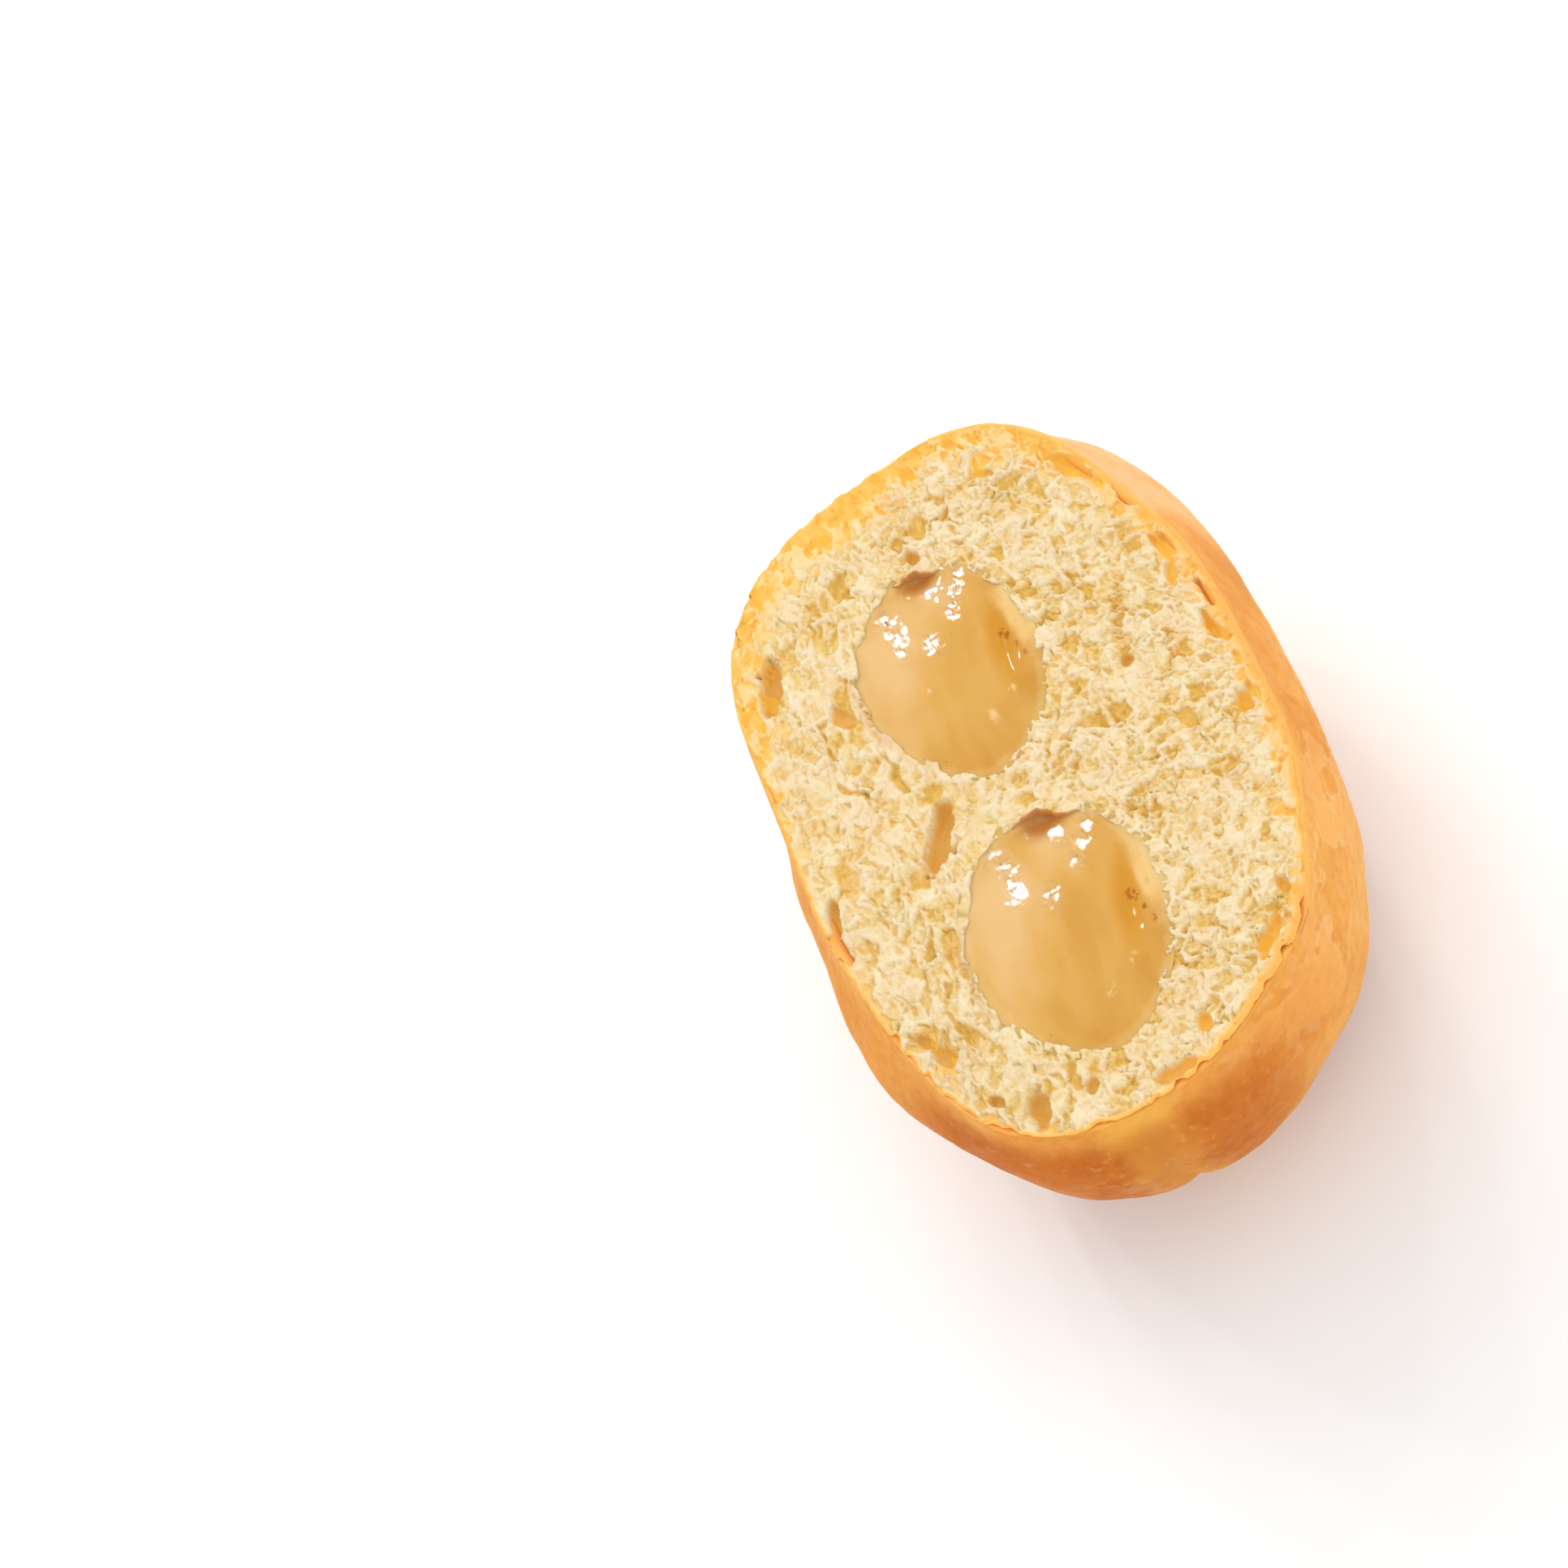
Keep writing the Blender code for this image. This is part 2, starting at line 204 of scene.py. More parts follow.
# Thin openings between crumb and crust along the -Y side
RIM_SLOTS = (-114, -40, 9)  # first and last direction in degrees, number
RIM_SLOT_SIZE = (1.4 * MM, 0.40 * MM, 1.1 * MM)
RIM_SLOT_RANGES = ((-5, 5), (1.5, 3.0), (0.5, 1.6), (0.7, 1.4))  # degrees, mm from the rim, length, width

# Crumb beside the filling that the gel soaks, with painted shade under its edge at the gel's hollow
POCKET_RAGGED = ((6.0 * MM, 0.045), (2.2 * MM, 0.035), (1.0 * MM, 0.025))
POCKET_LIP = (1.06, 0.07, 0.16 * MM)  # where the crumb stands up round the gel, its spread and height
POCKET_WALL = 0.3  # share of the crumb's relief on the pocket's wall
SMEAR = (88, 36, 1.07, 0.08, 0.6)  # middle and spread in degrees, distance and spread in shares, wetness
SOAKED_AND_SHADE = (1.03, 0.04, 0.05)  # edge that gel soaks: how far, how much further at the hollow as painted shade, over what
SHADE_AT_HOLLOW = (1.6, 1.3)  # how much longer and wider than the gel's hollow that painted shade is

# Filling: its top in shares of the pocket's half length and half width
FILLING_RINGS = 110
FILLING_SEGMENTS = 400
FILLING_REACH = 1.07  # how far the gel soaks into the pocket's wall
GEL_LEVEL = -0.18 * MM
GEL_FORMS = (  # along, across, their spreads, height
    (0.96, -0.15, 0.12, 0.21, -1.1 * MM),
    (0.62, 0.0, 0.30, 0.36, -0.25 * MM),
    (-0.35, 0.05, 0.55, 0.55, 0.22 * MM),
)
GEL_RIDGE = (0.15, -0.43, 0.16, 0.46, 0.22 * MM)  # along, across, narrow and long spread, height
GEL_VALLEY = (0.05, -0.66, 0.14, 0.42, -0.7 * MM)
GEL_TURN = -14  # degrees that ridge and valley are turned
GEL_BELOW = (6, 13, 0.93, 0.09)  # rings under the top, degrees between them, share of the depth, narrowing
GEL_TIP = 0.95  # share of the depth where the gel ends
GEL_BORDER = (0.86, 0.16)  # milky border: from which share, over what
HOLLOW_SHADE = (1.5, 1.3)  # how much longer and wider than the hollow its shade is
VALLEY_TINT = (1.1, 1.2)  # how much longer and wider than the valley its golden tint is
SHINE_SPREAD = 1.3  # how much wider than the wrinkled spots the shine is
WRINKLED = (  # where the gel is wrinkled: along, across, spread
    (0.82, 0.35, 0.10),
    (0.65, 0.31, 0.10),
    (0.47, 0.36, 0.10),
    (0.32, 0.03, 0.11),
    (0.51, -0.33, 0.07),
    (0.65, -0.44, 0.08),
    (0.77, -0.54, 0.08),
    (0.76, -0.24, 0.08),
)
WRINKLES = ((1.6 * MM, 0.10 * MM), (0.75 * MM, 0.15 * MM), (0.4 * MM, 0.020 * MM))
CREASES = ((0.62 * MM, 0.17 * MM), (0.40 * MM, 0.13 * MM))  # sharp ones between them
WRINKLE_STRETCH = 1.5  # wrinkles run lengthwise
SWELLS = (5.5 * MM, 0.16 * MM)
AMBER = (  # along, across, spread, how much deeper amber or, below zero, milkier
    (-0.85, 0.10, 0.50, 0.20),
    (0.35, 0.62, 0.42, -0.65),
    (0.72, -0.15, 0.30, -0.35),
    (0.05, -0.15, 0.30, 0.12),
    (-0.25, 0.75, 0.35, -0.15),
    (-0.40, -0.75, 0.30, 0.35),
)
PALE_SIDE = (-82, 24, 0.90, 0.14)  # middle and spread in degrees, distance and spread in shares
AMBER_MEAN = 0.5
PALE_SPOTS = ((-0.58, -0.18, 0.075), (-0.44, -0.52, 0.055), (-0.04, 0.32, 0.03))
DARK_FLECK = (0.745, 0.356, 0.045, 2.2)  # along, across, spread, how many times as long as wide
BROWN_SPECKS = (
    (0.07, -0.69, 0.050),
    (0.02, -0.74, 0.035),
    (-0.10, -0.79, 0.028),
    (-0.22, -0.85, 0.030),
    (0.08, -0.90, 0.030),
    (-0.71, 0.57, 0.015),
)

# The photograph's view of the cut face
TO_CAMERA = Vector((-0.4636, -0.1417, 0.8746))
PICTURE_RIGHT = Vector((-0.3566, -0.8738, -0.3306))
PICTURE_UP = Vector((0.8111, -0.4652, 0.3546))
CAMERA_DISTANCE = 638.7 * MM
PICTURE_PIXELS = 1932
PIXEL = 0.0905 * MM  # on the cut face
CUT_MIDDLE_PIXEL = (1264.7, 947.9)  # where the middle of the cut face shows
SENSOR = 36.0
CAMERA_CLIP = (0.01, 20.0)

# Lights: direction, distance and size in metres, watts
SOFT_LIGHTS = (  # not seen in reflections
    ("key", (0.77, 0.10, 0.66), 1.0, 0.7, 1.4),
    ("fill", (0.1, -0.9, 0.8), 1.0, 0.7, 1.0),
)
GLINT_LIGHT = (0.9, 0.04, 5.0)  # seen in reflections only
GLINT_DIRECTIONS = (
    (0.77, 0.14, 0.62),
    (0.66, -0.30, 0.68),
    (0.60, 0.42, 0.68),
    (0.84, -0.06, 0.54),
    (0.70, 0.30, 0.64),
    (0.74, -0.14, 0.66),
    (0.82, 0.26, 0.52),
)
SKY_STRENGTH = 1.04

FLOOR_SIZE = 6.0
FLOOR_LEVEL = -0.05 * MM  # just under the half, to share no plane with it


def smooth_step(share):
    share = np.clip(share, 0.0, 1.0)
    return share * share * (3 - 2 * share)


def bell(distance, spread):
    return np.exp(-((distance / spread) ** 2))


def turned_difference(angle, other):
    """Degrees from one direction to another, from -180 to 180."""
    return (angle - other + 180) % 360 - 180


def turned(x, y, degrees):
    """The same places along axes that are turned by some degrees."""
    cos, sin = math.cos(math.radians(degrees)), math.sin(math.radians(degrees))
    return x * cos + y * sin, y * cos - x * sin


def features_at(angle, features):
    total = np.zeros_like(angle)
    for middle, spread, height in features:
        total += height * bell(turned_difference(angle, middle), spread)
    return total


def rim_radius(angle):
    """Distance from the middle of the cut face to its rim, at angles in degrees."""
    direction = np.radians(angle - CUT_TURN)
    along = np.abs(np.cos(direction)) / CUT_HALF_LENGTH
    across = np.abs(np.sin(direction)) / CUT_HALF_WIDTH
    base = (along**CUT_SQUARENESS + across**CUT_SQUARENESS) ** (-1 / CUT_SQUARENESS)
    return base + features_at(angle, CUT_FEATURES)


def form_noise(points, size):
    """The same noise as in the solids, at rows of x, y and z."""
    return np.array([noise.noise(Vector(p)) for p in (points / size).tolist()])


def ring_distance(points):
    """Signed distance in the XY plane from the wandering middle line of the pale ring."""
    height, length, place = RING_WAVE
    spots = np.stack((points[:, 0], np.full(len(points), place * length), points[:, 2]), axis=1)
    wander = height * form_noise(spots, length)
    offset = points[:, 1] - (RING_OFFSET + RING_SLOPE * points[:, 0] + wander)
    return offset / math.hypot(1.0, RING_SLOPE)


def crust_points(angle, way):
    """Points of the solid's crust. way runs from 0 at the rim to 1 at the middle of the back."""
    lean = np.radians(90 * way)
    power = BACK_SQUARENESS
    reach = (np.cos(lean) ** power + np.sin(lean) ** power) ** (1 / power)
    closing, depth = np.maximum(0.0, np.cos(lean)) / reach, np.sin(lean) / reach
    behind_rim = smooth_step(depth / BELLY_REACH)
    swell = BELLY_SWELL + features_at(angle, BELLY_FEATURES)
    radius = (rim_radius(angle) + swell * behind_rim) * closing
    turn = np.radians(angle)
    z = (HALF_DEPTH + REST_CLIP) * (1 - depth) - REST_CLIP * behind_rim
    points = np.stack((radius * np.cos(turn), radius * np.sin(turn), z), axis=1)
    lumps = sum(height * form_noise(points, size) for size, height in CRUST_LUMPS)
    from_ring = ring_distance(points)
    for sunk, half_width in (WAIST, CREASE):
        lumps -= sunk * bell(from_ring, half_width)
    outward = points - np.array((0, 0, HALF_DEPTH))
    outward /= np.linalg.norm(outward, axis=1)[:, None]
    fade_start, fade_end = SMOOTH_BACK
    lumps *= behind_rim * (1 - smooth_step((way - fade_start) / (fade_end - fade_start)))
    return points + outward * lumps[:, None], outward, behind_rim, from_ring


def cell_random(cells, seed):
    """A random value from 0 to 1 for each row of whole coordinates."""
    mixed = np.full(len(cells), (seed + 1) * 7919, dtype=np.int64)
    for axis, prime in zip(range(cells.shape[1]), (73856093, 19349663, 83492791)):
        mixed ^= cells[:, axis] * prime
    mixed = (mixed ^ (mixed >> 13)) * 1274126177 & 0xFFFFFFFFFFF
    mixed = (mixed ^ (mixed >> 16)) * 2246822519 & 0xFFFFFFFFFFF
    return ((mixed ^ (mixed >> 15)) & 0xFFFF) / 65535


def lattice_noise(points, size, seed):
    """Smooth noise from -1 to 1 at rows of coordinates, from random values on a lattice."""
    scaled = points / size + 1000.0
    cell = np.floor(scaled).astype(np.int64)
    part = scaled - cell
    fade = part**3 * (part * (part * 6 - 15) + 10)
    total = np.zeros(len(points))
    for corner in itertools.product((0, 1), repeat=points.shape[1]):
        weight = np.ones(len(points))
        for axis, step in enumerate(corner):
            weight *= fade[:, axis] if step else 1 - fade[:, axis]
        total += weight * (cell_random(cell + np.array(corner), seed) * 2 - 1)
    return total


def torn_cells(points, size, seed):
    """Distance from the nearest wall between cells, with random values for the cell and the wall."""
    scaled = points / size + 1000.0
    cell = np.floor(scaled).astype(np.int64)
    nearest, second = np.full(len(points), 1e9), np.full(len(points), 1e9)
    spot, other_spot = np.zeros((2, len(points), 2))
    value, other_value = np.zeros((2, len(points)))
    for step in itertools.product((-1, 0, 1), repeat=2):
        neighbour = cell + np.array(step)
        stray = np.stack((cell_random(neighbour, seed), cell_random(neighbour, seed + 1)), axis=1) - 0.5
        middle = neighbour + 0.5 + CELL_SPREAD * stray
        own = cell_random(neighbour, seed + 2)
        distance = ((middle - scaled) ** 2).sum(axis=1)
        first = distance < nearest
        next_best = ~first & (distance < second)
        second = np.where(first, nearest, np.where(next_best, distance, second))
        other_spot = np.where(first[:, None], spot, np.where(next_best[:, None], middle, other_spot))
        other_value = np.where(first, value, np.where(next_best, own, other_value))
        nearest = np.where(first, distance, nearest)
        spot = np.where(first[:, None], middle, spot)
        value = np.where(first, own, value)
    apart = np.sqrt(((other_spot - spot) ** 2).sum(axis=1))
    to_wall = (second - nearest) / (2 * np.maximum(apart, 1e-6)) * size
    return to_wall, value, (value + other_value) * WALL_SHUFFLE % 1.0


def layered_noise(points, layers, seed):
    return sum(height * lattice_noise(points, size, seed + i) for i, (size, height) in enumerate(layers))


def cut_level(x, y):
    """Height of the knife's uneven cut."""
    size, height = CUT_WANDER
    return HALF_DEPTH + height * lattice_noise(np.stack((x, y), axis=1), size, SEED)


def grid_faces(rows, columns, wrap):
    """Quads between the points of a grid that is stored row by row."""
    index = np.arange(rows * columns).reshape(rows, columns)
    if wrap:
        index = np.hstack((index, index[:, :1]))
    quads = np.stack((index[:-1, :-1], index[:-1, 1:], index[1:, 1:], index[1:, :-1]), axis=-1)
    return quads.reshape(-1, 4).tolist()


def fan_faces(loop, tip):
    return [[a, b, tip] for a, b in zip(loop, loop[1:] + loop[:1])]


def closed_faces(rings, segments):
    """Faces of rings of points that are closed by two tips, the last two points."""
    count = rings * segments
    faces = grid_faces(rings, segments, wrap=True) + fan_faces(list(range(segments)), count)
    return faces + fan_faces(list(range(count - segments, count)), count + 1)


def link_mesh(name, points, faces, attributes, material):
    """A smooth-shaded object of one closed mesh with a value per point for each attribute."""
    mesh = bpy.data.meshes.new(name)
    mesh.from_pydata(points.tolist(), [], faces)
    bm = bmesh.new()
    bm.from_mesh(mesh)
    bmesh.ops.recalc_face_normals(bm, faces=bm.faces)
    bm.to_mesh(mesh)
    bm.free()
    for key, values in attributes.items():
        layer = mesh.attributes.new(key, "FLOAT", "POINT")
        layer.data.foreach_set("value", np.asarray(values, dtype=np.float32))
    mesh.shade_smooth()
    mesh.materials.append(material)
    obj = bpy.data.objects.new(name, mesh)
    bpy.context.scene.collection.objects.link(obj)
    return obj


def covered_share(angle):
    """How much of the crust's edge the crumb covers, from 0 to 1."""
    turn = np.radians(angle)
    round_rim = np.stack((np.cos(turn), np.sin(turn)), axis=1)
    gain, less, ragged, size = COVERED_EDGE
    covered = gain * features_at(angle, LIP_COVERED) - less
    return smooth_step(covered + ragged * lattice_noise(round_rim, size, SEED + 6))


def crust_lip(angle):
    """The crust's cut edge as rings of points, from inside to outside."""
    rim = rim_radius(angle)
    turn = np.radians(angle)
    size, ragged = LIP_RAGGED
    sunk = LIP_SUNK * covered_share(angle)
    rings = []
    for inward, height in LIP:
        radius = rim - inward * MM
        x, y = radius * np.cos(turn), radius * np.sin(turn)
        uneven = ragged * lattice_noise(np.stack((x, y), axis=1), size, SEED + 5)
        rings.append(np.stack((x, y, cut_level(x, y) + height * MM + uneven - sunk), axis=1))
    return rings


def crust_tints(points, angle, from_ring):
    """How peeled, how toasted with painted shade, and how much painted highlight, at each point of a ring, from
    0 to 1.
    """
    x, y, z = points.T
    middle, spread, height, height_spread = PEELED
    peeled = bell(turned_difference(angle, middle), spread) * bell(z - HALF_DEPTH - height, height_spread)
    # Browning with painted shade: darker below the cut towards -X, the side away from the key light
    direction, first, last, deep = TOASTED_AND_SHADE
    towards, _ = turned(x, y, direction)
    browned_and_shaded = smooth_step((towards - first) / (last - first)) * smooth_step((HALF_DEPTH - z) / deep)
    direction, reach, level, fade = BACK_BROWN
    towards, _ = turned(x, y, direction)
    back = smooth_step(towards / reach) * smooth_step((level - z) / fade)
    level, fade = UNDER_BROWN
    back = np.maximum(back, smooth_step((level - z) / fade))
    distance, fade, brown = OFF_RING
    off_ring = smooth_step((np.abs(from_ring) - distance) / fade)
    toasted_and_shade = np.maximum(browned_and_shaded, brown * back * off_ring)
    # Painted highlight: paler crust high up towards +X, on the side facing the key light
    first, last = HIGHLIGHT_SPAN
    lowest, fade = HIGHLIGHT_LEVEL
    painted_highlight = smooth_step((x - first) / (last - first)) * smooth_step((z - lowest) / fade)
    return peeled, toasted_and_shade, painted_highlight


def make_crust(material):
    angle = np.arange(CRUST_SEGMENTS) * 360.0 / CRUST_SEGMENTS - 180
    rings = []
    columns = {"cut": [], "ring": [], "peeled": [], "toasted_and_shade": [], "painted_highlight": [], "gold": []}

    def add_ring(points, cut, from_ring):
        rings.append(points)
        values = (np.full_like(angle, cut), from_ring / MM, *crust_tints(points, angle, from_ring))
        for column, value in zip(columns.values(), (*values, gold_share(angle))):
            column.append(value)

    for way in np.linspace(*CRUST_INNER_WAYS):
        points, outward, _, from_ring = crust_points(angle, np.full_like(angle, way))
        inner = points - outward * CRUST_THICKNESS
        inner[:, 2] = np.maximum(inner[:, 2], CRUST_THICKNESS)
        add_ring(inner, 1.0, from_ring)
    for k, points in enumerate(crust_lip(angle)):
        from_outside = len(LIP) - 1 - k
        add_ring(points, min(1.0, from_outside / LIP_BLEND), ring_distance(points))
    depth, half_width, wander = CRACK
    wander_size, strength_size, mean, change = CRACK_NOISE
    ends = [start for start, _ in CRUST_WAYS[1:]] + [1.0]
    for (start, count), end in zip(CRUST_WAYS, ends):
        for way in np.linspace(start, end, count, endpoint=False):
            points, outward, behind_rim, from_ring = crust_points(angle, np.full_like(angle, way))
            relief = layered_noise(points, SKIN_BUMPS, SEED + 20) * smooth_step(way / SKIN_FADE)
            torn = from_ring + wander * lattice_noise(points, wander_size, SEED + 24)
            strength = np.clip(mean + change * lattice_noise(points, strength_size, SEED + 25), 0, 1)
            relief -= depth * strength * bell(torn, half_width) * behind_rim
            points = points + outward * relief[:, None]
            points[:, 2] = np.maximum(points[:, 2], 0.0)
            add_ring(points, 0.0, torn)
    inner_tip, outer_tip = (0, 0, CRUST_THICKNESS), (0, 0, 0)
    points = np.concatenate((*rings, (inner_tip, outer_tip)))
    attributes = {key: np.concatenate((*column, (0.0, 0.0))) for key, column in columns.items()}
    attributes["cut"][-2] = 1.0
    return link_mesh("crust", points, closed_faces(len(rings), CRUST_SEGMENTS), attributes, material)


def gold_share(angle):
    """How much of the dense golden layer shows under the crust, from 0 to 1."""
    _, _, middle, spread = GOLD_WIDTH
    return bell(turned_difference(angle, middle), spread)


def pocket_shares(x, y, pocket):
    """Places in a pocket as shares of its half length and half width."""
    _, middle_x, middle_y, half_length, half_width, turn = pocket
    along, across = turned(x - middle_x, y - middle_y, turn)
    along, across = along / half_length, across / half_width
    return along, across / (1 + POCKET_EGG * along)


def pocket_depth(pocket):
    return POCKET_DEPTH_RATIO * pocket[4]


def crumb_relief(points, stretch, seed):
    """Height of torn crumb, in cells of three sizes with broken walls, and its openness at each point, for
    painted shade.
    """
    warp = [layered_noise(points, TORN_WARP, seed + shift) for shift in (0, 3)]
    warped = (points + np.stack(warp, axis=1)) / np.array((stretch, 1.0))
    height, opening = np.zeros((2, len(points)))
    broken_share, broken_depth = BROKEN_WALLS
    least_width, extra_width = WALL_WIDTHS
    least_depth, extra_depth = CELL_DEPTHS
    margin, softness = CELL_OPENING
    for k, (size, depth, wall_width, slope, open_share) in enumerate(TORN_CELLS):
        to_wall, cell, wall = torn_cells(warped, size, seed + 100 * (k + 1))
        opened = smooth_step((to_wall - wall_width * (least_width + extra_width * wall)) / slope)
        deep = smooth_step((open_share + margin - cell) / softness)
        deep *= least_depth + extra_depth * (cell * DEPTH_SHUFFLE % 1.0)
        broken = (wall < broken_share) * (1 - opened)
        height -= depth * deep * (opened + broken_depth * broken)
        opening += CELL_TINTS[k] * deep * (opened + broken_depth * broken)
    size, rise = UNEVEN
    height += rise * lattice_noise(warped, size, seed + 40)
    for k, (size, rise) in enumerate(FLUFF):
        height += rise * (np.abs(lattice_noise(warped, size, seed + 41 + k)) - FLUFF_MEAN)
    strands = np.zeros(len(points))
    wholeness, change, in_sizes = STRAND_BREAKS
    for k, (size, rise, half_width) in enumerate(STRANDS):
        course = np.abs(lattice_noise(warped, size, seed + 50 + k))
        whole = smooth_step(wholeness + change * lattice_noise(warped, in_sizes * size, seed + 55 + k))
        strand = whole * (1 - smooth_step(course / half_width))
        height += rise * (strand - STRAND_MEAN)
        strands = np.maximum(strands, strand)
    paler, mean = STRAND_TINT
    return height, opening + paler * (mean - strands)


def rim_slots(rng):
    """Thin openings between crumb and crust, as a list of holes in metres."""
    first, last, number = RIM_SLOTS
    half_length, half_width, depth = RIM_SLOT_SIZE
    degrees, inward, lengths, widths = RIM_SLOT_RANGES
    slots = []
    for angle in np.linspace(first, last, number) + rng.uniform(*degrees, number):
        rim = float(rim_radius(np.array([angle]))[0])
        radius = rim - rng.uniform(*inward) * MM
        turn = math.radians(angle)
        x, y = radius * math.cos(turn), radius * math.sin(turn)
        lie = math.degrees(math.atan2(x / CUT_HALF_LENGTH**2, -y / CUT_HALF_WIDTH**2))
        size = rng.uniform(*lengths)
        slots.append((x, y, half_length * size, half_width * rng.uniform(*widths), depth * size, lie))
    return slots


def hole_relief(x, y, height):
    """Lowers the height where a larger hole is open, and says how deep inside one a point is."""
    inside = np.zeros_like(x)
    torn = 1 + layered_noise(np.stack((x, y), axis=1), HOLES_RAGGED, SEED + 45)
    power, left_over = HOLE_FLOOR
    holes = [(*(length * MM for length in lengths), turn) for *lengths, turn in LARGE_HOLES]
    holes += rim_slots(np.random.default_rng(SEED + 1))
    for middle_x, middle_y, half_length, half_width, depth, turn in holes:
        along, across = turned(x - middle_x, y - middle_y, turn)
        share = ((along / half_length) ** 2 + (across / half_width) ** 2) * torn
        floor = -depth * (1 - share**power)
        height = np.where(share < 1, np.minimum(height, left_over * height + floor), height)
        inside = np.maximum(inside, smooth_step((1 - share) * HOLE_FADE))
    return height, inside


def pocket_relief(x, y, height):
    """Lowers the height inside the pockets; says how gel soaks the crumb, plus painted shade by the gel's
    hollow.
    """
    smeared, soaked_and_shade = np.zeros((2, len(x)))
    smear_middle, smear_spread, smear_at, smear_width, smear_wetness = SMEAR
    hollow_along, hollow_across, long, wide, _ = GEL_FORMS[0]
    longer, wider = SHADE_AT_HOLLOW
    soaked_to, further, fade = SOAKED_AND_SHADE
    lip_at, lip_spread, rise = POCKET_LIP
    for pocket in POCKETS:
        along, across = pocket_shares(x, y, pocket)
        share = np.hypot(along, across)
        direction = np.degrees(np.arctan2(across, along))
        share = share * (1 + layered_noise(np.stack((x, y), axis=1), POCKET_RAGGED, SEED + 50))
        wall = -pocket_depth(pocket) * np.sqrt(np.maximum(1 - share**2, 0))
        # the soaking colour reaches further at the gel's hollow, as painted shade under the crumb's edge
        recess = bell(along - hollow_along, longer * long) * bell(across - hollow_across, wider * wide)
        soaked_and_shade = np.maximum(soaked_and_shade, smooth_step((soaked_to + further * recess - share) / fade))
        lip = height + rise * bell(share - lip_at, lip_spread)
        height = np.where(share < 1, wall + POCKET_WALL * height, lip)
        smear = bell(turned_difference(direction, smear_middle), smear_spread)
        smeared = np.maximum(smeared, smear * bell(share - smear_at, smear_width))
    return height, np.maximum(soaked_and_shade, smear_wetness * smeared)


def crumb_surface(spots, angle, gap):
    """Height of the crumb at places on the cut, and its attributes. gap is the distance from its outline."""
    x, y = spots.T
    covered, golden = covered_share(angle), gold_share(angle)
    stretch, first, over = LONG_CELLS
    lengthened = smooth_step((y - first) / over)
    height, opening = (
        even * (1 - lengthened) + long * lengthened
        for even, long in zip(crumb_relief(spots, 1.0, SEED), crumb_relief(spots, stretch, SEED + 1000))
    )
    size, differing = OPENNESS
    height *= 1 + differing * lattice_noise(spots, size, SEED + 37)

    least, extra, _, _ = GOLD_WIDTH
    size, uneven = GOLD_RAGGED
    gold_width = least * (1 - covered) + extra * golden
    gold_width = gold_width * (1 + uneven * lattice_noise(spots, size, SEED + 36))
    plain = PALE_EDGE * covered * (1 - golden)
    layer = (gold_width - gap) / GOLD_SOFTNESS
    by_depth, level = GOLD_BY_DEPTH
    gold = smooth_step(GOLD_MIDDLE - plain + layer - by_depth * (height + level))
    widths, added = GOLD_END
    gold *= smooth_step(widths - gap / (added + gold_width))
    least, reach = GOLD_LEAST
    gold = np.maximum(gold, least * smooth_step(reach - plain + layer))

    peach = np.max([bell(turned_difference(angle, middle), spread) for middle, spread in PEACH], axis=0)
    width, added = RIM_STRIP
    near_rim = 1 - smooth_step(gap / (width + added * peach))
    gold = np.maximum(gold, near_rim)
    reach, fade = PEACH_REACH
    peach = peach * (1 - smooth_step((gap - reach) / fade))
    peach = np.maximum(peach, RIM_PEACH * near_rim * (1 - golden))
    height = height * (1 - RIM_FLAT * near_rim)
    height = height * (1 - GOLD_FLAT * gold)
    height, inside = hole_relief(x, y, height)
    height, wet_and_shade = pocket_relief(x, y, height)
    edge_width, edge_dip = CRUMB_EDGE
    height -= edge_dip * (1 - covered) * (1 - smooth_step(gap / edge_width))
    attributes = {"hollow": np.clip(opening, 0, 1), "gold": gold, "hole": inside, "wet_and_shade": wet_and_shade, "peach": peach}
    return height, attributes


